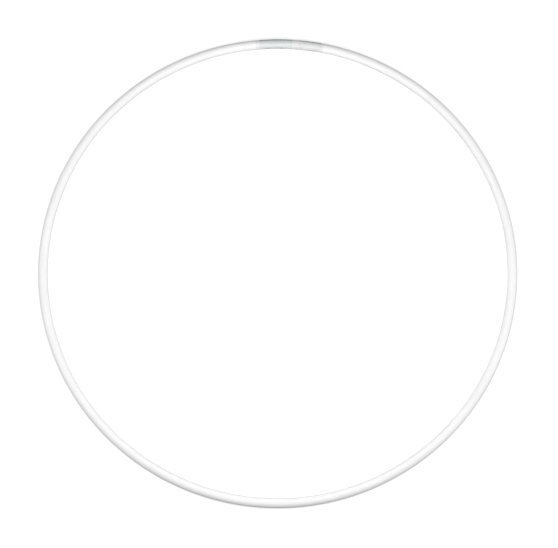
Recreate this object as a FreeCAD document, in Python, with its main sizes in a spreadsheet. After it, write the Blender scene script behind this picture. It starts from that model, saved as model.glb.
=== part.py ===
import FreeCAD, Part
import math
import os

import Sketcher

# A rhythmic-gymnastics hoop: one length of extruded plastic tube, coiled into a ring and
# butted end to end. The joint is held by a moulded connector inside the tube and by
# countersunk blind rivets on the inner side of the ring. Two stickers and a clear wrap
# cover the joint.
#
# The hoop lies flat. +Z is its axle, +Y points from its centre to the joint, and the
# origin is below its centre, on the surface that it lies on. Distances "along the tube"
# are arc lengths on the tube's centreline, positive anticlockwise from the joint.

# Driving dimensions, in millimetres, degrees and counts.
DIMENSIONS = {
    # ring and tube
    "opening_diameter": 850.0,
    "tube_diameter": 18.0,
    "tube_wall": 2.3,
    "tube_end_chamfer": 0.3,
    # connector inside the joint
    "connector_length": 110.0,
    "connector_wall": 1.6,
    "connector_play": 0.25,
    "connector_lead": 0.9,
    "rib_play": 0.02,
    "rib_width": 1.6,
    "inner_rib_at": 28.0,
    "outer_rib_at": 50.0,
    "collar_width": 1.0,
    "collar_depth": 0.2,
    "butt_play": 0.05,
    # blind rivets
    "rivet_pitch": 28.0,
    "rivet_diameter": 3.2,
    "rivet_hole_play": 0.05,
    "rivet_head_diameter": 6.0,
    "rivet_head_height": 0.85,
    "rivet_head_sink": 0.55,
    "rivet_bulb_diameter": 4.8,
    "rivet_bulb_clearance": 0.12,
    "rivet_bulb_length": 2.2,
    "rivet_bulb_round": 0.4,
    "mandrel_diameter": 1.8,
    "mandrel_break_depth": 0.35,
    "mandrel_head_diameter": 2.9,
    "mandrel_head_length": 1.5,
    # stickers and wrap
    "sticker_thickness": 0.06,
    "sticker_opening_angle": 40.0,
    "maker_sticker_length": 61.0,
    "maker_sticker_at": 26.5,
    "approval_sticker_length": 41.0,
    "approval_sticker_at": -39.5,
    "wrap_length": 130.0,
    "wrap_thickness": 0.08,
}
RIVETS = 4

# Sizes that follow from the driving dimensions, as expressions on the sheet.
OPENING_RADIUS = "dims.opening_diameter / 2"
TUBE_RADIUS = "dims.tube_diameter / 2"
RING_RADIUS = "(dims.opening_diameter + dims.tube_diameter) / 2"
BORE_RADIUS = "(dims.tube_diameter / 2 - dims.tube_wall)"
CONNECTOR_RADIUS = f"({BORE_RADIUS} - dims.connector_play)"
CONNECTOR_BORE_RADIUS = f"({CONNECTOR_RADIUS} - dims.connector_wall)"
RIB_RADIUS = f"({BORE_RADIUS} - dims.rib_play)"
COLLAR_RADIUS = "(dims.tube_diameter / 2 - dims.collar_depth)"
STICKER_RADIUS = "(dims.tube_diameter / 2 + dims.sticker_thickness)"
WRAP_OVER_STICKER_RADIUS = f"({STICKER_RADIUS} + dims.wrap_thickness)"
WRAP_OVER_TUBE_RADIUS = "(dims.tube_diameter / 2 + dims.wrap_thickness)"
BUTT_GAP = "(dims.collar_width + 2 * dims.butt_play)"
RIVET_HEAD_FACE = f"({OPENING_RADIUS} + dims.rivet_head_sink)"
RIVET_HEAD_BACK = f"({RIVET_HEAD_FACE} + dims.rivet_head_height)"
REST_HEIGHT = WRAP_OVER_STICKER_RADIUS

OUT = "parts"
SAME_SIZE = 1e-4
ALLOWED_VOLUME_ERROR = 0.004

doc = FreeCAD.newDocument("rhythmic_hoop")
sheet = doc.addObject("Spreadsheet::Sheet", "dims")


def fill_sheet():
    """Writes each driving dimension into the sheet as a plain number with an alias."""
    for row, (alias, value) in enumerate(DIMENSIONS.items(), start=1):
        sheet.set(f"A{row}", alias)
        sheet.set(f"B{row}", str(value))
        sheet.setAlias(f"B{row}", alias)
    doc.recompute()


def value_of(expression):
    """The number that an expression on the sheet has now."""
    return float(sheet.evalExpression(expression))


def arc_angle(length):
    """The angle in degrees that an arc length along the tube's centreline spans."""
    return f"({length}) / ({RING_RADIUS}) * 180 / pi"


def new_body(name, turn="0"):
    """A body in the hoop's frame, turned about the axle by the expression turn, in degrees."""
    body = doc.addObject("PartDesign::Body", name)
    body.Label = name
    axle = FreeCAD.Vector(0, 0, 1)
    body.Placement = FreeCAD.Placement(
        FreeCAD.Vector(0, 0, value_of(REST_HEIGHT)),
        FreeCAD.Rotation(axle, value_of(turn)),
    )
    body.setExpression("Placement.Base.z", REST_HEIGHT)
    if turn != "0":
        body.setExpression("Placement.Rotation.Angle", turn)
    return body


def new_sketch(body, name, role, turn="0"):
    """A sketch on one of the body's origin planes, turned about the axle by turn."""
    sketch = body.newObject("Sketcher::SketchObject", name)
    plane = next(f for f in body.Origin.OriginFeatures if f.Role == role)
    sketch.AttachmentSupport = [(plane, "")]
    sketch.MapMode = "FlatFace"
    if turn != "0":
        local_axle = FreeCAD.Vector(0, 1, 0) if role == "YZ_Plane" else FreeCAD.Vector(0, 0, 1)
        sketch.AttachmentOffset = FreeCAD.Placement(
            FreeCAD.Vector(0, 0, 0), FreeCAD.Rotation(local_axle, value_of(turn))
        )
        sketch.setExpression("AttachmentOffset.Rotation.Angle", turn)
    return sketch


def bind(sketch, constraint, name, expression):
    """Adds a dimension to the sketch and ties it to an expression on the sheet."""
    index = sketch.addConstraint(constraint)
    sketch.renameConstraint(index, name)
    sketch.setExpression(f"Constraints.{name}", expression)


def place_and_size(sketch, outer, inner, side=1):
    """Ties a section's first two curves to the tube's centreline and to their radii."""
    ends = (-1, 1, 0, 3) if side > 0 else (0, 3, -1, 1)
    distance = Sketcher.Constraint("DistanceX", *ends, value_of(RING_RADIUS))
    bind(sketch, distance, "ring_radius", RING_RADIUS)
    for index, (label, radius) in enumerate((("outer", outer), ("inner", inner))):
        size = Sketcher.Constraint("Radius", index, value_of(radius))
        bind(sketch, size, label + "_radius", radius)


def tube_section(body, name, outer, inner, side=1, turn="0"):
    """Two circles about the tube's centreline, on the +Y side of the ring or the -Y one."""
    sketch = new_sketch(body, name, "YZ_Plane", turn)
    centre = FreeCAD.Vector(side * value_of(RING_RADIUS), 0, 0)
    normal = FreeCAD.Vector(0, 0, 1)
    for radius in (outer, inner):
        sketch.addGeometry(Part.Circle(centre, normal, value_of(radius)))
    sketch.addConstraint(Sketcher.Constraint("PointOnObject", 0, 3, -1))
    sketch.addConstraint(Sketcher.Constraint("Coincident", 1, 3, 0, 3))
    place_and_size(sketch, outer, inner, side)
    return sketch


def open_section(body, name, outer, inner, opening_angle, turn="0"):
    """A tube section with a strip left out on the side that faces the ring's centre."""
    sketch = new_sketch(body, name, "YZ_Plane", turn)
    centre = FreeCAD.Vector(value_of(RING_RADIUS), 0, 0)
    normal = FreeCAD.Vector(0, 0, 1)
    half_opening = math.radians(value_of(opening_angle) / 2)
    start, end = half_opening - math.pi, math.pi - half_opening
    for radius in (outer, inner):
        circle = Part.Circle(centre, normal, value_of(radius))
        sketch.addGeometry(Part.ArcOfCircle(circle, start, end))
    outer_arc, inner_arc = (sketch.Geometry[i] for i in (0, 1))
    sketch.addGeometry(Part.LineSegment(inner_arc.EndPoint, outer_arc.EndPoint))
    sketch.addGeometry(Part.LineSegment(inner_arc.StartPoint, outer_arc.StartPoint))
    sketch.addConstraint(Sketcher.Constraint("PointOnObject", 0, 3, -1))
    sketch.addConstraint(Sketcher.Constraint("Coincident", 1, 3, 0, 3))
    for line, arc_end in ((2, 2), (3, 1)):
        sketch.addConstraint(Sketcher.Constraint("Coincident", line, 1, 1, arc_end))
        sketch.addConstraint(Sketcher.Constraint("Coincident", line, 2, 0, arc_end))
    sketch.addConstraint(Sketcher.Constraint("Symmetric", 0, 1, 0, 2, -1))
    sketch.addConstraint(Sketcher.Constraint("Symmetric", 1, 1, 1, 2, -1))
    place_and_size(sketch, outer, inner)
    gap = f"2 * {inner} * sin(({opening_angle}) / 2 * 1 deg)"
    width = Sketcher.Constraint("DistanceY", 1, 2, 1, 1, -value_of(gap))
    bind(sketch, width, "opening_width", f"-({gap})")
    return sketch


def outline(sketch, corners):
    """Draws a closed outline through corners given as pairs of expressions, right and up."""
    points = [FreeCAD.Vector(value_of(x), value_of(y), 0) for x, y in corners]
    for i, point in enumerate(points):
        sketch.addGeometry(Part.LineSegment(point, points[(i + 1) % len(points)]))
    for i in range(len(points)):
        after = (i + 1) % len(points)
        sketch.addConstraint(Sketcher.Constraint("Coincident", i, 2, after, 1))
    for i, (x, y) in enumerate(corners):
        if x == "0":
            sketch.addConstraint(Sketcher.Constraint("PointOnObject", i, 1, -2))
        else:
            across = Sketcher.Constraint("DistanceX", -1, 1, i, 1, points[i].x)
            bind(sketch, across, f"across_{i}", x)
        outward = Sketcher.Constraint("DistanceY", -1, 1, i, 1, points[i].y)
        bind(sketch, outward, f"outward_{i}", y)


def half_profile(body, name, corners, turn="0"):
    """A closed outline on the ring's mid-plane, for turning about the radial line through +Y.

    Each corner is a pair of expressions: its distance from that line and from the axle.
    """
    sketch = new_sketch(body, name, "XY_Plane", turn)
    outline(sketch, corners)
    return sketch


def revolve(body, kind, name, sketch, angle="360", midplane=False, axis="V_Axis"):
    """Turns a sketch about one of its axes: its vertical one is the axle or a rivet's line."""
    feature = body.newObject(f"PartDesign::{kind}", name)
    feature.Profile = sketch
    feature.ReferenceAxis = (sketch, [axis])
    feature.Midplane = midplane
    feature.setExpression("Angle", angle)
    sketch.Visibility = False
    doc.recompute()
    return feature


def ring_stretch(body, name, outer, inner, length, at="0"):
    """A stretch of ring along the tube, of that arc length, centred on the arc length at."""
    turn = "0" if at == "0" else arc_angle(at)
    sketch = tube_section(body, name + "_section", outer, inner, turn=turn)
    return revolve(body, "Revolution", name, sketch, arc_angle(length), midplane=True)


def break_connector_ends(body):
    """Gives the connector's spigots their lead-ins."""
    spigot = body.Tip
    ends = circles_of(spigot.Shape, value_of(CONNECTOR_RADIUS))
    lead = body.newObject("PartDesign::Chamfer", "lead_in")
    lead.Base = (spigot, ends)
    lead.setExpression("Size", "dims.connector_lead")
    doc.recompute()
    return lead


def cut_at_rivets(body, name, corners):
    """Cuts one turned hole at the first rivet and repeats it at the others."""
    first = arc_angle(f"-({RIVETS} - 1) / 2 * dims.rivet_pitch")
    sketch = half_profile(body, name + "_profile", corners, first)
    hole = revolve(body, "Groove", name, sketch)
    pattern = body.newObject("PartDesign::PolarPattern", name + "_pattern")
    pattern.Originals = [hole]
    axle = next(f for f in body.Origin.OriginFeatures if f.Role == "Z_Axis")
    pattern.Axis = (axle, [""])
    pattern.Mode = "Extent"
    pattern.Occurrences = RIVETS
    pattern.setExpression("Angle", arc_angle(f"({RIVETS} - 1) * dims.rivet_pitch"))
    body.Tip = pattern
    doc.recompute()
    return pattern


def break_tube_ends(body):
    """Breaks the outer and bore edges of both tube ends.

    Each cut is a flared slot over the joint, turned about the tube's centreline there.
    """
    size, beyond = "dims.tube_end_chamfer", "dims.tube_wall / 4"
    half_gap = f"({BUTT_GAP} / 2)"
    half_mouth = f"({half_gap} + {size} + {beyond})"
    for name, radius, out, back in (
        ("outer_edges", TUBE_RADIUS, "+", "-"),
        ("bore_edges", BORE_RADIUS, "-", "+"),
    ):
        mouth = f"{RING_RADIUS} + {radius} {out} {beyond}"
        floor = f"{RING_RADIUS} + {radius} {back} {size}"
        sketch = new_sketch(body, name + "_profile", "XY_Plane")
        outline(
            sketch,
            ((f"-{half_mouth}", mouth), (half_mouth, mouth), (half_gap, floor), (f"-{half_gap}", floor)),
        )
        ends = [FreeCAD.Vector(x, value_of(RING_RADIUS), 0) for x in (-1, 1)]
        centreline = sketch.addGeometry(Part.LineSegment(*ends), True)
        sketch.addConstraint(Sketcher.Constraint("Horizontal", centreline))
        height = Sketcher.Constraint("DistanceY", -1, 1, centreline, 1, value_of(RING_RADIUS))
        bind(sketch, height, "centreline_height", RING_RADIUS)
        revolve(body, "Groove", name, sketch, axis="Axis0")


def hoop_tube():
    """The extruded tube: a ring with its two ends square to the centreline at the joint."""
    body = new_body("hoop_tube")
    section = tube_section(body, "tube_section", TUBE_RADIUS, BORE_RADIUS, side=-1)
    coil_angle = f"360 - {arc_angle(BUTT_GAP)}"
    revolve(body, "Revolution", "coiled_tube", section, coil_angle, midplane=True)
    break_tube_ends(body)
    hole = "(dims.rivet_diameter / 2 + dims.rivet_hole_play)"
    sink = "(dims.rivet_head_diameter / 2 + dims.rivet_hole_play)"
    before_wall = f"{OPENING_RADIUS} - dims.tube_wall / 2"
    beyond_wall = f"{OPENING_RADIUS} + 1.5 * dims.tube_wall"
    corners = (
        ("0", before_wall),
        (sink, before_wall),
        (sink, RIVET_HEAD_FACE),
        (hole, f"{RIVET_HEAD_BACK} + dims.rivet_hole_play / 2"),
        (hole, beyond_wall),
        ("0", beyond_wall),
    )
    cut_at_rivets(body, "countersunk_hole", corners)
    return body


def joint_connector():
    """The moulded plug that bridges the joint: a hollow spigot each side of a stop collar."""
    body = new_body("joint_connector")
    ring_stretch(
        body, "spigot", CONNECTOR_RADIUS, CONNECTOR_BORE_RADIUS, "dims.connector_length"
    )
    break_connector_ends(body)
    overlap = f"({CONNECTOR_RADIUS} - dims.connector_wall / 2)"
    ring_stretch(body, "stop_collar", COLLAR_RADIUS, overlap, "dims.collar_width")
    for side, sign in (("left", ""), ("right", "-")):
        for place in ("inner", "outer"):
            at = f"{sign}dims.{place}_rib_at"
            ring_stretch(body, f"{side}_{place}_rib", RIB_RADIUS, overlap, "dims.rib_width", at)
    hole = "(dims.rivet_diameter / 2 + dims.rivet_hole_play)"
    before_wall = f"{OPENING_RADIUS} + dims.tube_wall / 2"
    inside = f"{RING_RADIUS} - {CONNECTOR_BORE_RADIUS} / 2"
    corners = (("0", before_wall), (hole, before_wall), (hole, inside), ("0", inside))
    cut_at_rivets(body, "rivet_hole", corners)
    return body


def rivet_turn(number):
    """How far a rivet stands round the ring from the joint, counted from the right."""
    return arc_angle(f"({number} - ({RIVETS} + 1) / 2) * dims.rivet_pitch")


def bulb_levels():
    """Where a set rivet's bulb starts, is full and ends, outward from the axle.

    The connector's bore curves towards the bulb, so each level clears the bore's wall at
    that level's own width.
    """
    levels = []
    for width in ("dims.rivet_diameter", "dims.rivet_bulb_diameter"):
        drop = f"sqrt({CONNECTOR_BORE_RADIUS}^2 - ({width} / 2)^2)"
        levels.append(f"({RING_RADIUS} - {drop} + dims.rivet_bulb_clearance)")
    levels.append(f"({levels[1]} + dims.rivet_bulb_length)")
    return levels


def circles_of(shape, radius):
    """The names of the shape's circular edges of that radius."""
    return [
        f"Edge{index}"
        for index, edge in enumerate(shape.Edges, start=1)
        if isinstance(edge.Curve, Part.Circle) and abs(edge.Curve.Radius - radius) < SAME_SIZE
    ]


def rivet_sleeve(number):
    """A set blind rivet's sleeve: countersunk head, shank and the bulb behind the wall."""
    body = new_body(f"rivet_sleeve_{number}", rivet_turn(number))
    start, full, end = bulb_levels()
    bore, shank = "dims.mandrel_diameter / 2", "dims.rivet_diameter / 2"
    bulb = "dims.rivet_bulb_diameter / 2"
    corners = (
        (bore, RIVET_HEAD_FACE),
        ("dims.rivet_head_diameter / 2", RIVET_HEAD_FACE),
        (shank, RIVET_HEAD_BACK),
        (shank, start),
        (bulb, full),
        (bulb, f"{full} + dims.rivet_bulb_length / 2"),
        (shank, end),
        (bore, end),
    )
    sketch = half_profile(body, f"sleeve_{number}_profile", corners)
    sleeve = revolve(body, "Revolution", f"sleeve_{number}", sketch)
    rounded = body.newObject("PartDesign::Fillet", f"bulb_{number}_round")
    rounded.Base = (sleeve, circles_of(sleeve.Shape, value_of(bulb)))
    rounded.setExpression("Radius", "dims.rivet_bulb_round")
    doc.recompute()
    return body


def rivet_mandrel(number):
    """What stays of the mandrel in a set rivet: its broken stem and its head."""
    body = new_body(f"rivet_mandrel_{number}", rivet_turn(number))
    end = bulb_levels()[-1]
    broken = f"{RIVET_HEAD_FACE} + dims.mandrel_break_depth"
    stem, head = "dims.mandrel_diameter / 2", "dims.mandrel_head_diameter / 2"
    corners = (
        ("0", broken),
        (stem, broken),
        (stem, end),
        (head, end),
        (head, f"{end} + dims.mandrel_head_length / 3"),
        (f"{head} / 2", f"{end} + dims.mandrel_head_length"),
        ("0", f"{end} + dims.mandrel_head_length"),
    )
    sketch = half_profile(body, f"mandrel_{number}_profile", corners)
    revolve(body, "Revolution", f"mandrel_{number}", sketch)
    return body


def sticker(place):
    """A sticker round the tube, open along the inner side where the rivets are."""
    name = f"{place}_sticker"
    body = new_body(name, arc_angle(f"dims.{name}_at"))
    section = open_section(
        body, name + "_section", STICKER_RADIUS, TUBE_RADIUS, "dims.sticker_opening_angle"
    )
    length = arc_angle(f"dims.{name}_length")
    revolve(body, "Revolution", name + "_face", section, length, midplane=True)
    return body


def joint_wrap():
    """The clear film over the joint. It steps out over each sticker."""
    body = new_body("joint_wrap")
    ring_stretch(body, "film", WRAP_OVER_TUBE_RADIUS, TUBE_RADIUS, "dims.wrap_length")
    opening = "dims.sticker_opening_angle"
    edge_angle = f"dims.wrap_thickness / {STICKER_RADIUS} * 180 / pi"
    step = (WRAP_OVER_STICKER_RADIUS, TUBE_RADIUS, f"({opening} - 2 * {edge_angle})")
    pocket = (STICKER_RADIUS, f"({TUBE_RADIUS} - dims.wrap_thickness)", opening)
    for place in ("maker", "approval"):
        sticker_length = f"dims.{place}_sticker_length"
        layers = (
            ("Revolution", f"{place}_step", step, f"{sticker_length} + 2 * dims.wrap_thickness"),
            ("Groove", f"{place}_pocket", pocket, sticker_length),
        )
        for kind, name, sizes, length in layers:
            turn = arc_angle(f"dims.{place}_sticker_at")
            section = open_section(body, name + "_section", *sizes, turn)
            revolve(body, kind, name, section, arc_angle(length), midplane=True)
    return body


def check_features():
    """Stops the build if any object of the document failed."""
    for item in doc.Objects:
        bad = [word for word in item.State if word in ("Invalid", "Error")]
        if bad:
            raise RuntimeError(f"{item.Label} is {', '.join(bad)}")


def check_volumes(bodies):
    """Stops the build if the tube or a sticker hasn't its section's area times its length."""
    outer, sticker_outer, bore = (value_of(r) for r in (TUBE_RADIUS, STICKER_RADIUS, BORE_RADIUS))
    tube_length = 2 * math.pi * value_of(RING_RADIUS) - value_of(BUTT_GAP)
    expected = {"hoop_tube": math.pi * (outer**2 - bore**2) * tube_length}
    covered = 1 - value_of("dims.sticker_opening_angle") / 360
    sticker_area = math.pi * (sticker_outer**2 - outer**2) * covered
    for place in ("maker", "approval"):
        expected[f"{place}_sticker"] = sticker_area * value_of(f"dims.{place}_sticker_length")
    for name, volume in expected.items():
        error = bodies[name].Shape.Volume / volume - 1
        print(f"{name}: volume {error:+.3%} from section times length")
        if abs(error) > ALLOWED_VOLUME_ERROR:
            raise RuntimeError(f"{name} has the wrong volume")


def export(bodies):
    """Writes each sub-part to its own STEP file."""
    os.makedirs(OUT, exist_ok=True)
    for name, body in bodies.items():
        shape = body.Shape
        if shape.isNull() or not shape.isValid() or not shape.Solids:
            raise RuntimeError(f"{name} has no valid solid")
        shape.exportStep(os.path.join(OUT, f"{name}.step"))
        print(f"{name}: {len(shape.Solids)} solid, {shape.Volume:.2f} mm3")


fill_sheet()
made = [hoop_tube(), joint_connector()]
for rivet in range(1, RIVETS + 1):
    made += [rivet_sleeve(rivet), rivet_mandrel(rivet)]
made += [sticker("maker"), sticker("approval"), joint_wrap()]
doc.recompute()
check_features()
subparts = {body.Label: body for body in made}
check_volumes(subparts)
export(subparts)
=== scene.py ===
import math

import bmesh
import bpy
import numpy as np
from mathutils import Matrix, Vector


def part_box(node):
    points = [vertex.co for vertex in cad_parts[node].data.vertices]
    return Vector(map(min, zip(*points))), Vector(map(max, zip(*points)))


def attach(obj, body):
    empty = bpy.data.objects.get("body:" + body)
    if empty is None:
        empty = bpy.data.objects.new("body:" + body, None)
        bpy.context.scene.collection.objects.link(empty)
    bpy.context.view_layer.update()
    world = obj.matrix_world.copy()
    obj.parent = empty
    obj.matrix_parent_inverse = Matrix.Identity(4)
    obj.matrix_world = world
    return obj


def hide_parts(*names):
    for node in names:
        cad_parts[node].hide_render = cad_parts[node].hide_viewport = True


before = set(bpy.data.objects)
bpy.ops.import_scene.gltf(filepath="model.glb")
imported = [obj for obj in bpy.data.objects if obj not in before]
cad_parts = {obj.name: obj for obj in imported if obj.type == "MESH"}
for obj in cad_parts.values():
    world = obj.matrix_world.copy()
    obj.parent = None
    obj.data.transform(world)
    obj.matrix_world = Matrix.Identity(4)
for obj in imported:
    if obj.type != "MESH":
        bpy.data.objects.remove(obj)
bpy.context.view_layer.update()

# The looks of a rhythmic-gymnastics hoop that lies on a pale floor, joint towards +Y.
#
# Two numbers place a point on the ring: "along" is the angle round the ring from the joint,
# anticlockwise seen from above, and "around" is the angle round the tube's section, from the
# ring's outer side (0) over its top (90 degrees) to the side that faces the ring's centre.

MM = 0.001
FULL_TURN = 2 * math.pi

# ---------------------------------------------------------------- sizes read from the frame

tube_low, tube_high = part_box("hoop_tube")
TUBE_RADIUS = (tube_high.z - tube_low.z) / 2
OUTER_RADIUS = (tube_high.x - tube_low.x) / 2
RING_RADIUS = OUTER_RADIUS - TUBE_RADIUS
TUBE_HEIGHT = (tube_high.z + tube_low.z) / 2
OPENING_RADIUS = RING_RADIUS - TUBE_RADIUS
RIVET_SLEEVES = sorted(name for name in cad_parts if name.startswith("rivet_sleeve"))
RIVET_MANDRELS = sorted(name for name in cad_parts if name.startswith("rivet_mandrel"))


def span_along(node):
    """The two angles along the ring between which a node at the joint lies."""
    low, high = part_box(node)
    return math.asin(-high.x / OUTER_RADIUS), math.asin(-low.x / OUTER_RADIUS)


WRAP_SPAN = span_along("joint_wrap")
STICKER_SPANS = {name: span_along(name) for name in ("maker_sticker", "approval_sticker")}

# ---------------------------------------------------------------- sizes of the pieces

# The tube's ends stop a gap short of the connector's collar, and are rounded over.
TUBE_WALL = 2.3 * MM
COLLAR_WIDTH = 1.0 * MM
END_GAP = 0.05 * MM
END_ROUND = 0.35 * MM

# A rivet's hole goes in from the ring's inner side: the head's seat is straight at first, and
# then narrows to the shank.
HEAD_RADIUS = 3.0 * MM
SHANK_RADIUS = 1.6 * MM
RIVET_PLAY = 0.05 * MM
SEAT_STRAIGHT = 0.55 * MM
SEAT_DEPTH = 1.4 * MM
CUTTER_OVERSHOOT = 1.0 * MM

# Each layer on the tube lies a skin gap off the one below, so both kinds of layer are a little
# thinner than in the CAD model.
SKIN_GAP = 0.02 * MM
STICKER_THICKNESS = 0.05 * MM
STICKER_CORNER = 3.0 * MM
STICKER_OPENING = math.radians(40)

# The film starts at its seam, goes once round the tube and ends an overlap further on. It begins
# to lift a little before it meets its own start, and slopes down over the stickers' edges.
FILM_THICKNESS = 0.05 * MM
FILM_SEAM = math.radians(215)
FILM_OVERLAP = math.radians(35)
FILM_LIFT = math.radians(6)
FILM_SLOPE = 0.3 * MM

# ---------------------------------------------------------------- fineness of the meshes

ALONG_STEPS = 720
AROUND_STEPS = 64
BORE_STEPS = 32
BORE_ROW_STRIDE = 4
END_ROUND_STEPS = 4
HOLE_STEPS = 48
STICKER_ROWS = 61
FILM_ROWS = 131
FILM_OVERLAP_COLUMNS = 7
MERGE_DISTANCE = 1e-7
PIECE_SHARP_ANGLE = 40
TUBE_SHARP_ANGLE = 30

# ---------------------------------------------------------------- swept meshes


def ring_points(along, around, radius):
    """Points at angles along the ring and around the section, radius from its centreline.

    The three are arrays that broadcast together, and the last axis of the result is x, y, z.
    """
    along, around, radius = np.broadcast_arrays(along, around, radius)
    reach = RING_RADIUS + radius * np.cos(around)
    return np.stack(
        [-np.sin(along) * reach, np.cos(along) * reach, TUBE_HEIGHT + radius * np.sin(around)],
        axis=-1,
    )


def grid_faces(rows, columns, first, wrap_columns):
    """Quads over a grid of points numbered from first, row by row."""
    i, j = np.meshgrid(
        np.arange(rows - 1), np.arange(columns if wrap_columns else columns - 1), indexing="ij"
    )
    after = (j + 1) % columns
    corners = [i * columns + j, (i + 1) * columns + j, (i + 1) * columns + after, i * columns + after]
    return (np.stack(corners, axis=-1).reshape(-1, 4) + first).tolist()


def mesh_object(name, points, faces):
    """A smooth-shaded mesh object of a closed set of faces over those points."""
    mesh = bpy.data.meshes.new(name)
    mesh.from_pydata(np.asarray(points, float).reshape(-1, 3).tolist(), [], faces)
    mesh.validate()
    made = bpy.data.objects.new(name, mesh)
    bpy.context.scene.collection.objects.link(made)
    outward(mesh)
    smooth(mesh, PIECE_SHARP_ANGLE)
    return made


def outward(mesh):
    """Turns the faces of a closed mesh to point out of it."""
    work = bmesh.new()
    work.from_mesh(mesh)
    bmesh.ops.remove_doubles(work, verts=work.verts, dist=MERGE_DISTANCE)
    bmesh.ops.recalc_face_normals(work, faces=work.faces)
    work.to_mesh(mesh)
    work.free()


def smooth(mesh, degrees):
    """Shades a mesh smooth, with sharp edges where its faces meet at more than that angle."""
    mesh.shade_smooth()
    mesh.set_sharp_from_angle(angle=math.radians(degrees))


def add_tube_space(obj):
    """Stores each point's place in the straightened tube: metres along it, out and up.

    The materials read it, so that drawn lines and prints follow the tube round the ring.
    """
    points = np.empty(len(obj.data.vertices) * 3)
    obj.data.vertices.foreach_get("co", points)
    x, y, z = points.reshape(-1, 3).T
    along = np.arctan2(-x, y) * RING_RADIUS
    across = np.hypot(x, y) - RING_RADIUS
    layer = obj.data.attributes.new("tube_space", "FLOAT_VECTOR", "POINT")
    values = np.stack([along, across, z - TUBE_HEIGHT], axis=-1)
    layer.data.foreach_set("vector", values.astype(np.float32).ravel())


def shell(name, along, around, inner, outer):
    """A closed sheet over a grid of angles, between the radii inner and outer."""
    rows, columns = along.shape
    points = np.concatenate(
        [ring_points(along, around, r).reshape(-1, 3) for r in (outer, inner)]
    )
    count = rows * columns
    faces = grid_faces(rows, columns, 0, False)
    faces += [face[::-1] for face in grid_faces(rows, columns, count, False)]
    border = border_of(rows, columns)
    faces += [[a, b, b + count, a + count] for a, b in zip(border, border[1:])]
    made = mesh_object(name, points, faces)
    add_tube_space(made)
    return made


def border_of(rows, columns):
    """The point numbers round the edge of a grid, from its first point back to that point."""
    top = list(range(columns))
    right = [r * columns + columns - 1 for r in range(1, rows)]
    bottom = [(rows - 1) * columns + c for c in range(columns - 2, -1, -1)]
    left = [r * columns for r in range(rows - 2, -1, -1)]
    return top + right + bottom + left


# ---------------------------------------------------------------- pieces


def make_tube():
    """The hollow tube, its ends rounded over, with countersunk holes for the rivets."""
    half_gap = (COLLAR_WIDTH / 2 + END_GAP) / RING_RADIUS
    turn = np.linspace(0, math.pi / 2, END_ROUND_STEPS + 1)
    inset = END_ROUND * (1 - np.sin(turn))
    back = END_ROUND * (1 - np.cos(turn)) / RING_RADIUS
    along = np.linspace(half_gap, FULL_TURN - half_gap, ALONG_STEPS + 1)[1:-1]
    along = np.concatenate([half_gap + back, along, FULL_TURN - half_gap - back[::-1]])
    inset = np.concatenate([inset, np.zeros(ALONG_STEPS - 1), inset[::-1]])
    outer_around = np.arange(AROUND_STEPS) * FULL_TURN / AROUND_STEPS
    bore_around = np.arange(BORE_STEPS) * FULL_TURN / BORE_STEPS
    bore_rows = along[END_ROUND_STEPS:-END_ROUND_STEPS:BORE_ROW_STRIDE]
    bore_along = np.concatenate([[along[0]], bore_rows, [along[-1]]])
    outer = ring_points(along[:, None], outer_around[None], TUBE_RADIUS - inset[:, None])
    bore = ring_points(bore_along[:, None], bore_around[None], TUBE_RADIUS - TUBE_WALL)
    first_bore = outer.shape[0] * AROUND_STEPS
    faces = grid_faces(outer.shape[0], AROUND_STEPS, 0, True)
    faces += [f[::-1] for f in grid_faces(bore.shape[0], BORE_STEPS, first_bore, True)]
    ends = ((0, 0), (outer.shape[0] - 1, bore.shape[0] - 1))
    for outer_row, bore_row in ends:
        faces += end_faces(outer_row * AROUND_STEPS, first_bore + bore_row * BORE_STEPS)
    points = np.concatenate([outer.reshape(-1, 3), bore.reshape(-1, 3)])
    made = mesh_object("tube_skin", points, faces)
    for node in RIVET_SLEEVES:
        cut_rivet_hole(made, node)
    add_tube_space(made)
    smooth(made.data, TUBE_SHARP_ANGLE)
    return made


def end_faces(outer_start, bore_start):
    """The faces of a tube's end, from its outer circle of points to its bore's."""
    share = AROUND_STEPS // BORE_STEPS
    faces = []
    for j in range(BORE_STEPS):
        rim = [outer_start + (j * share + k) % AROUND_STEPS for k in range(share + 1)]
        inside = [bore_start + (j + k) % BORE_STEPS for k in (1, 0)]
        faces.append(rim + inside)
    return faces


def rivet_axis(node):
    """A rivet's angle along the ring, from the middle of its box."""
    low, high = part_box(node)
    middle = (low + high) / 2
    return math.atan2(-middle.x, middle.y)


def cut_rivet_hole(tube, node):
    """Cuts one rivet's clearance hole and countersink through the tube's inner side."""
    head, shank = HEAD_RADIUS + RIVET_PLAY, SHANK_RADIUS + RIVET_PLAY
    profile = [
        (head, OPENING_RADIUS - CUTTER_OVERSHOOT),
        (head, OPENING_RADIUS + SEAT_STRAIGHT),
        (shank, OPENING_RADIUS + SEAT_DEPTH),
        (shank, OPENING_RADIUS + TUBE_WALL + CUTTER_OVERSHOOT),
    ]
    around = np.arange(HOLE_STEPS) * FULL_TURN / HOLE_STEPS
    points = [(r * math.cos(a), y, r * math.sin(a)) for r, y in profile for a in around]
    faces = grid_faces(len(profile), HOLE_STEPS, 0, True)
    last = (len(profile) - 1) * HOLE_STEPS
    faces += [list(range(HOLE_STEPS)), list(range(last, last + HOLE_STEPS))]
    cutter = mesh_object("rivet_cutter", points, faces)
    turned = Matrix.Rotation(rivet_axis(node), 4, "Z")
    cutter.matrix_world = Matrix.Translation((0, 0, TUBE_HEIGHT)) @ turned
    cut = tube.modifiers.new("hole", "BOOLEAN")
    cut.operation = "DIFFERENCE"
    cut.solver = "EXACT"
    cut.object = cutter
    apply_modifiers(tube)
    bpy.data.objects.remove(cutter)


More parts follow.
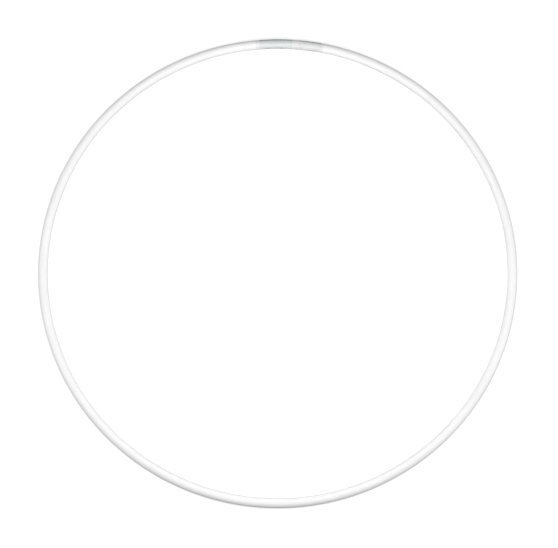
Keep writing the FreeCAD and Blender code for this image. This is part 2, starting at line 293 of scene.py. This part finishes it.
def apply_modifiers(obj):
    """Replaces an object's mesh by what its modifiers make of it."""
    bpy.context.view_layer.update()
    graph = bpy.context.evaluated_depsgraph_get()
    finished = bpy.data.meshes.new_from_object(obj.evaluated_get(graph))
    obj.modifiers.clear()
    before, obj.data = obj.data, finished
    name = before.name
    bpy.data.meshes.remove(before)
    finished.name = name


def make_sticker(name):
    """A sticker with rounded corners, laid round the tube up to the strip over the rivets."""
    start, end = STICKER_SPANS[name]
    edge = STICKER_OPENING / 2
    around = np.linspace(edge - math.pi, math.pi - edge, AROUND_STEPS + 1)
    from_edge = (math.pi - edge - np.abs(around)) * TUBE_RADIUS
    dip = np.clip(STICKER_CORNER - from_edge, 0, None)
    shorter = (STICKER_CORNER - np.sqrt(STICKER_CORNER**2 - dip**2)) / RING_RADIUS
    middle, half = (start + end) / 2, (end - start) / 2
    share = np.linspace(-1, 1, STICKER_ROWS)
    along = middle + share[:, None] * (half - shorter[None])
    grid = np.broadcast_to(around[None], along.shape)
    inner = TUBE_RADIUS + SKIN_GAP
    return shell(name + "_face", along, grid, inner, inner + STICKER_THICKNESS)


def make_film():
    """The clear film: wound once round the joint and on over its own start."""
    turn_end = FILM_SEAM + FULL_TURN
    around = np.linspace(FILM_SEAM, turn_end + FILM_OVERLAP, AROUND_STEPS + FILM_OVERLAP_COLUMNS)
    along = np.linspace(*WRAP_SPAN, FILM_ROWS)
    grid_along, grid_around = np.meshgrid(along, around, indexing="ij")
    under = 2 * SKIN_GAP + STICKER_THICKNESS
    lift = np.where(grid_around > turn_end - FILM_LIFT, FILM_THICKNESS + SKIN_GAP, 0)
    inner = TUBE_RADIUS + under * over_sticker(grid_along, grid_around) + lift
    inner = np.maximum(inner, TUBE_RADIUS + SKIN_GAP)
    return shell("joint_film", grid_along, grid_around, inner, inner + FILM_THICKNESS)


def over_sticker(along, around):
    """1 where a point is over a sticker, falling to 0 over the film's slope past its edge."""
    wrapped = np.abs((around + math.pi) % FULL_TURN - math.pi)
    inside_around = (math.pi - STICKER_OPENING / 2 - wrapped) * TUBE_RADIUS
    cover = np.zeros(along.shape)
    for start, end in STICKER_SPANS.values():
        inside = np.minimum(along - start, end - along) * RING_RADIUS
        depth = np.minimum(inside, inside_around)
        cover = np.maximum(cover, np.clip(1 + depth / FILM_SLOPE, 0, 1))
    return cover


# ---------------------------------------------------------------- materials

# A Mix node's sockets share their names between kinds, so its colours go by their numbers.
MIX_FACTOR, MIX_FIRST_COLOUR, MIX_SECOND_COLOUR, MIX_RESULT = 0, 6, 7, 2
# Between these lies nearly all of a noise.
NOISE_RANGE = (0.3, 0.7)


def grey(level):
    """A grey of equal red, green and blue."""
    return (level, level, level)


class Nodes:
    """A short way to write a node material. Scales of noises are in cells per metre."""

    def __init__(self, name):
        self.material = bpy.data.materials.new(name)
        self.material.use_nodes = True
        self.tree = self.material.node_tree
        self.surface = self.tree.nodes["Principled BSDF"]

    def add(self, kind, inputs=(), **settings):
        """A new node with those inputs and settings."""
        node = self.tree.nodes.new(kind)
        for key, value in settings.items():
            setattr(node, key, value)
        for key, value in dict(inputs).items():
            self.put(node, key, value)
        return node

    def put(self, node, key, value):
        """Sets a socket, or links it if value is another node's socket."""
        socket = node.inputs[key]
        if isinstance(value, bpy.types.NodeSocket):
            self.tree.links.new(value, socket)
        else:
            socket.default_value = value

    def shade(self, **sockets):
        """Sets or links the surface's sockets, written with _ for the spaces in their names."""
        for key, value in sockets.items():
            self.put(self.surface, key.replace("_", " "), value)

    def place(self, scale=(1, 1, 1)):
        """The straightened tube's coordinates, times scale along, across and up."""
        read = self.add("ShaderNodeAttribute", attribute_name="tube_space").outputs["Vector"]
        return self.add("ShaderNodeMapping", {"Vector": read, "Scale": scale}).outputs["Vector"]

    def object_place(self):
        """The object's own coordinates."""
        return self.add("ShaderNodeTexCoord").outputs["Object"]

    def parts(self, vector):
        """The X, Y and Z sockets of a vector."""
        return self.add("ShaderNodeSeparateXYZ", {"Vector": vector}).outputs

    def noise(self, vector, scale=1.0, detail=4.0, roughness=0.55):
        made = self.add(
            "ShaderNodeTexNoise",
            {"Vector": vector, "Scale": scale, "Detail": detail, "Roughness": roughness},
        )
        return made.outputs["Fac"]

    def ramp(self, value, low, high, to_low=0.0, to_high=1.0):
        """Maps value from low..high to to_low..to_high, and holds it there."""
        made = self.add(
            "ShaderNodeMapRange",
            {"Value": value, "From Min": low, "From Max": high, "To Min": to_low, "To Max": to_high},
        )
        return made.outputs["Result"]

    def math(self, operation, a, b=0.0):
        made = self.add("ShaderNodeMath", operation=operation)
        self.put(made, 0, a)
        self.put(made, 1, b)
        return made.outputs[0]

    def mix(self, factor, a, b):
        """The colour a where factor is 0, and b where it is 1."""
        made = self.add("ShaderNodeMix", data_type="RGBA")
        self.put(made, MIX_FACTOR, factor)
        self.put(made, MIX_FIRST_COLOUR, (*a, 1) if isinstance(a, tuple) else a)
        self.put(made, MIX_SECOND_COLOUR, (*b, 1) if isinstance(b, tuple) else b)
        return made.outputs[MIX_RESULT]

    def bump(self, height, strength, distance, normal=None):
        """A normal roughened by height, on top of the normal given."""
        made = self.add(
            "ShaderNodeBump", {"Height": height, "Strength": strength, "Distance": distance}
        )
        if normal is not None:
            self.put(made, "Normal", normal)
        return made.outputs["Normal"]


def tube_material():
    """Milky white polyethylene: draw lines along the tube, a fine grain and light scuffs."""
    n = Nodes("tube_plastic")
    drawn = n.noise(n.place((3, 900, 900)), detail=3)
    grain = n.noise(n.place(), scale=2600, detail=2)
    cloud = n.noise(n.place(), scale=14, detail=4)
    scuff_field = n.noise(n.place((60, 500, 500)), detail=6, roughness=0.7)
    scuffs = n.ramp(scuff_field, 0.60, 0.70)
    tint = n.mix(n.ramp(cloud, *NOISE_RANGE), grey(0.848), grey(0.874))
    tint = n.mix(n.math("MULTIPLY", n.ramp(drawn, 0.55, 0.75), 0.5), tint, grey(0.80))
    tint = n.mix(n.math("MULTIPLY", scuffs, 0.45), tint, (0.72, 0.72, 0.715))
    scuffed = n.math("MULTIPLY", scuffs, 0.18)
    shine = n.math("ADD", n.ramp(drawn, *NOISE_RANGE, to_low=0.42, to_high=0.52), scuffed)
    lines = n.bump(drawn, strength=0.5, distance=0.05 * MM)
    rough = n.bump(grain, strength=0.1, distance=0.01 * MM, normal=lines)
    n.shade(Base_Color=tint, Roughness=shine, Normal=rough)
    n.shade(IOR=1.52, Diffuse_Roughness=0.25)
    return n.material


# A sticker's hatching leans by this much along the tube for each unit round it. The darker band is
# painted shade on the ring's outer flank: it fades in over this stretch outwards from the ring's
# centreline, and the darker line at each end fades in over this stretch between the sticker's middle
# (0) and its end (1).
HATCH_SLANT = 0.6
OUTER_SHADE_BAND = (0.58 * TUBE_RADIUS, 0.66 * TUBE_RADIUS)
RIM_LINE = (0.955, 0.96)
RIM_STRENGTH = 0.2


def sticker_material(name, sticker, base, ink, edge, pitch, coverage):
    """Printed foil: slanted hatching, denser in the middle, and painted shade in a darker band on the
    outer side.

    The hatching's pitch is in metres, and coverage is its share of the print at the sticker's ends
    and in its middle. The edge colour is the painted shade of the outer side, and it also tints the
    darker line at each end.
    """
    n = Nodes(name)
    start, end = (a * RING_RADIUS for a in STICKER_SPANS[sticker])
    place = n.parts(n.place())
    from_middle = n.math("ABSOLUTE", n.ramp(place["X"], start, end, -1, 1))
    around = n.math("MULTIPLY", n.math("ARCTAN2", place["Z"], place["Y"]), TUBE_RADIUS)
    slanted = n.math("ADD", place["X"], n.math("MULTIPLY", around, HATCH_SLANT))
    phase = n.math("FRACT", n.math("DIVIDE", slanted, pitch))
    at_ends, in_middle = coverage
    line = n.math("LESS_THAN", phase, n.ramp(from_middle, 0, 1, in_middle, at_ends))
    tint = n.mix(line, base, ink)
    # Painted shade: the sticker's outer flank turns towards the edge colour, as if it lay in shade.
    tint = n.mix(n.ramp(place["Y"], *OUTER_SHADE_BAND), tint, edge)
    rim = n.math("MULTIPLY", n.ramp(from_middle, *RIM_LINE), RIM_STRENGTH)
    tint = n.mix(rim, tint, edge)
    screen = n.noise(n.place(), scale=3000, detail=1)
    n.shade(Base_Color=tint, Roughness=n.ramp(screen, *NOISE_RANGE, to_low=0.30, to_high=0.36))
    n.shade(Normal=n.bump(screen, strength=0.04, distance=0.005 * MM))
    return n.material


# Both are distances from the film's ends: the dust ends over the first, the haze is full after
# the second.
DUST_EDGE = (0.1 * MM, 0.6 * MM)
FILM_FADE = 8.0 * MM


def film_material():
    """Clear film: see-through, greyer away from its ends, gently wavy, with dust along its ends."""
    n = Nodes("clear_film")
    start, end = (a * RING_RADIUS for a in WRAP_SPAN)
    along = n.parts(n.place())["X"]
    from_end = n.math("MINIMUM", n.math("SUBTRACT", along, start), n.math("SUBTRACT", end, along))
    dust = n.ramp(from_end, *DUST_EDGE, to_low=0.02, to_high=0)
    cloud = n.noise(n.place((40, 120, 120)), detail=2)
    haze = n.ramp(cloud, *NOISE_RANGE, to_low=0.042, to_high=0.052)
    haze = n.math("MULTIPLY", haze, n.ramp(from_end, 0, FILM_FADE, to_low=0.6))
    wave = n.noise(n.place((50, 160, 160)), detail=1)
    shine = n.ramp(wave, *NOISE_RANGE, to_low=0.18, to_high=0.24)
    n.shade(Base_Color=(0.35, 0.36, 0.36, 1), Roughness=shine)
    n.shade(Alpha=n.math("ADD", dust, haze))
    n.shade(Normal=n.bump(wave, strength=0.06, distance=0.05 * MM))
    return n.material


METAL_ROUGHNESS = (0.36, 0.48)


def metal_material(name, colour, darker):
    """Bare metal with fine tooling marks and small dull patches."""
    n = Nodes(name)
    marks = n.noise(n.object_place(), scale=4000, detail=3)
    patches = n.noise(n.object_place(), scale=700, detail=4)
    n.shade(Base_Color=n.mix(n.ramp(patches, 0.35, 0.65), colour, darker), Metallic=1.0)
    n.shade(Roughness=n.ramp(marks, *NOISE_RANGE, *METAL_ROUGHNESS))
    n.shade(Normal=n.bump(marks, strength=0.1, distance=0.01 * MM))
    return n.material


def connector_material():
    """Natural moulded nylon, with a fine spark-eroded texture."""
    n = Nodes("connector_plastic")
    cloud = n.noise(n.object_place(), scale=60, detail=4)
    texture = n.noise(n.object_place(), scale=1800, detail=3)
    tint = n.mix(n.ramp(cloud, *NOISE_RANGE), (0.74, 0.73, 0.70), (0.79, 0.78, 0.75))
    n.shade(Base_Color=tint, Roughness=n.ramp(texture, *NOISE_RANGE, to_low=0.5, to_high=0.62))
    n.shade(Normal=n.bump(texture, strength=0.15, distance=0.03 * MM))
    return n.material


def dress(obj, material):
    """Gives an object one material."""
    obj.data.materials.clear()
    obj.data.materials.append(material)
    return obj


# ---------------------------------------------------------------- stage, lights and camera

# Lengths are in metres, the lights' powers in watts and the lens in millimetres.
FLOOR_SIZE = 80.0
FLOOR_GLOW = 0.399

CAMERA_LENS = 100.0
CAMERA_AZIMUTH = math.radians(3)
CAMERA_ELEVATION = math.radians(78)
CAMERA_CLIP = (0.05, 200)
RING_SHARE_OF_WIDTH = 0.8593
# The point that the camera looks at: right of the ring's middle, and nearer to the camera.
AIM = Vector((0.0023, -0.0143, 0))

KEY_PLACE = (0, -0.05, 0.49)
KEY_SIZE = (0.4, 0.4)
KEY_POWER = 1.86
OVERHEAD_DISTANCE = 4.0
OVERHEAD_SIZE = (4.0, 4.0)
OVERHEAD_POWER = 63.5
SIDE_PLACE = Vector((1.7, -0.17, 0.8))
SIDE_TARGET = Vector((0.3, 0, 0))
SIDE_SIZE = (1.0, 0.7)
LEFT_POWER = 9.1
RIGHT_POWER = 10.95
CENTRE_HEIGHT = 0.06
CENTRE_SIZE = 0.03
CENTRE_POWER = 0.35
WORLD_LEVEL = 0.258


def floor_material():
    """A pale painted studio floor that glows a little, so that it looks evenly white."""
    n = Nodes("studio_floor")
    cloud = n.noise(n.object_place(), scale=1.5, detail=3)
    n.shade(Base_Color=n.mix(cloud, grey(0.90), grey(0.92)), Roughness=0.9)
    n.put(n.surface, "Specular IOR Level", 0.1)
    n.put(n.surface, "Emission Color", (1, 1, 1, 1))
    n.put(n.surface, "Emission Strength", FLOOR_GLOW)
    return n.material


def make_floor():
    """A floor that only the camera sees. It takes the ring's shadow, but the ring is lit, from
    below too, as if no floor were there, so that its shaded sides stay grey.
    """
    half = FLOOR_SIZE / 2
    corners = [(-half, -half, 0), (half, -half, 0), (half, half, 0), (-half, half, 0)]
    mesh = bpy.data.meshes.new("studio_floor")
    mesh.from_pydata(corners, [], [(0, 1, 2, 3)])
    made = bpy.data.objects.new("studio_floor", mesh)
    bpy.context.scene.collection.objects.link(made)
    made.visible_diffuse = False
    made.visible_glossy = False
    made.visible_shadow = False
    dress(made, floor_material())


def area_light(name, place, target, size, power, shape="RECTANGLE"):
    """A soft area light at place that points to target. The camera doesn't see it."""
    data = bpy.data.lights.new(name, "AREA")
    data.shape = shape
    data.size, data.size_y = size
    data.energy = power
    made = bpy.data.objects.new(name, data)
    bpy.context.scene.collection.objects.link(made)
    made.location = place
    made.rotation_mode = "QUATERNION"
    made.rotation_quaternion = (Vector(target) - Vector(place)).to_track_quat("-Z", "Y")
    made.visible_camera = False


def towards_camera():
    """The direction from the ring's middle to the camera."""
    level = math.cos(CAMERA_ELEVATION)
    right, back = math.sin(CAMERA_AZIMUTH) * level, math.cos(CAMERA_AZIMUTH) * level
    return Vector((right, -back, math.sin(CAMERA_ELEVATION)))


def make_lights():
    """A key light close over the ring, a large one far off towards the camera, one at each side,
    a small one in the middle and an even surround.
    """
    far = OVERHEAD_DISTANCE * towards_camera()
    area_light("key", KEY_PLACE, (0, 0, 0), KEY_SIZE, KEY_POWER, "DISK")
    area_light("overhead", far, (0, 0, 0), OVERHEAD_SIZE, OVERHEAD_POWER, "DISK")
    for name, side, power in (("left", -1, LEFT_POWER), ("right", 1, RIGHT_POWER)):
        mirror = Matrix.Diagonal((side, 1, 1))
        area_light(name, mirror @ SIDE_PLACE, mirror @ SIDE_TARGET, SIDE_SIZE, power)
    make_centre_light()
    make_world()


def make_centre_light():
    """A small light just over the floor in the ring's middle, for the ring's inner side."""
    data = bpy.data.lights.new("centre", "POINT")
    data.energy = CENTRE_POWER
    data.shadow_soft_size = CENTRE_SIZE
    made = bpy.data.objects.new("centre", data)
    bpy.context.scene.collection.objects.link(made)
    made.location = (0, 0, CENTRE_HEIGHT)
    made.visible_camera = False


def make_world():
    """An even white surround."""
    world = bpy.data.worlds.new("studio")
    bpy.context.scene.world = world
    world.use_nodes = True
    background = world.node_tree.nodes["Background"]
    background.inputs["Color"].default_value = (1, 1, 1, 1)
    background.inputs["Strength"].default_value = WORLD_LEVEL


def make_camera():
    """Looks down on the ring, a little from its -Y side."""
    data = bpy.data.cameras.new("camera")
    data.lens = CAMERA_LENS
    data.clip_start, data.clip_end = CAMERA_CLIP
    distance = 2 * OUTER_RADIUS / (RING_SHARE_OF_WIDTH * data.sensor_width / data.lens)
    back = towards_camera()
    made = bpy.data.objects.new("camera", data)
    bpy.context.scene.collection.objects.link(made)
    turn = Matrix.Rotation(CAMERA_AZIMUTH, 3, "Z")
    made.location = turn @ AIM + Vector((0, 0, TUBE_HEIGHT)) + back * distance
    made.rotation_mode = "QUATERNION"
    made.rotation_quaternion = (-back).to_track_quat("-Z", "Y")
    bpy.context.scene.camera = made


# ---------------------------------------------------------------- making the scene

make_camera()
make_lights()
make_floor()

tube = dress(make_tube(), tube_material())
teal_foil = sticker_material(
    "teal_foil",
    "maker_sticker",
    base=(0.795, 0.812, 0.818),
    ink=(0.605, 0.665, 0.675),
    # The edge colour is painted shade for the sticker's outer side, and it also tints the lines at
    # its ends.
    edge=(0.34, 0.40, 0.40),
    pitch=1.0 * MM,
    coverage=(0.1, 0.4),
)
grey_foil = sticker_material(
    "grey_foil",
    "approval_sticker",
    base=(0.828, 0.828, 0.833),
    ink=(0.755, 0.755, 0.765),
    # The edge colour is painted shade for the sticker's outer side, and it also tints the lines at
    # its ends.
    edge=(0.50, 0.50, 0.51),
    pitch=0.8 * MM,
    coverage=(0.2, 0.2),
)
maker = dress(make_sticker("maker_sticker"), teal_foil)
approval = dress(make_sticker("approval_sticker"), grey_foil)
film = dress(make_film(), film_material())
for piece, node, slot in (
    (tube, "hoop_tube", "tube_plastic"),
    (maker, "maker_sticker", "teal_foil"),
    (approval, "approval_sticker", "grey_foil"),
    (film, "joint_wrap", "clear_film"),
):
    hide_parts(node)
    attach(piece, "root")

aluminium = metal_material("rivet_aluminium", (0.90, 0.91, 0.92), (0.80, 0.81, 0.82))
steel = metal_material("mandrel_steel", (0.62, 0.63, 0.64), (0.50, 0.50, 0.51))
for names, material in ((RIVET_SLEEVES, aluminium), (RIVET_MANDRELS, steel)):
    for name in names:
        dress(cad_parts[name], material)
dress(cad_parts["joint_connector"], connector_material())

bpy.context.scene.view_settings.view_transform = "Standard"
bpy.context.scene.view_settings.look = "None"
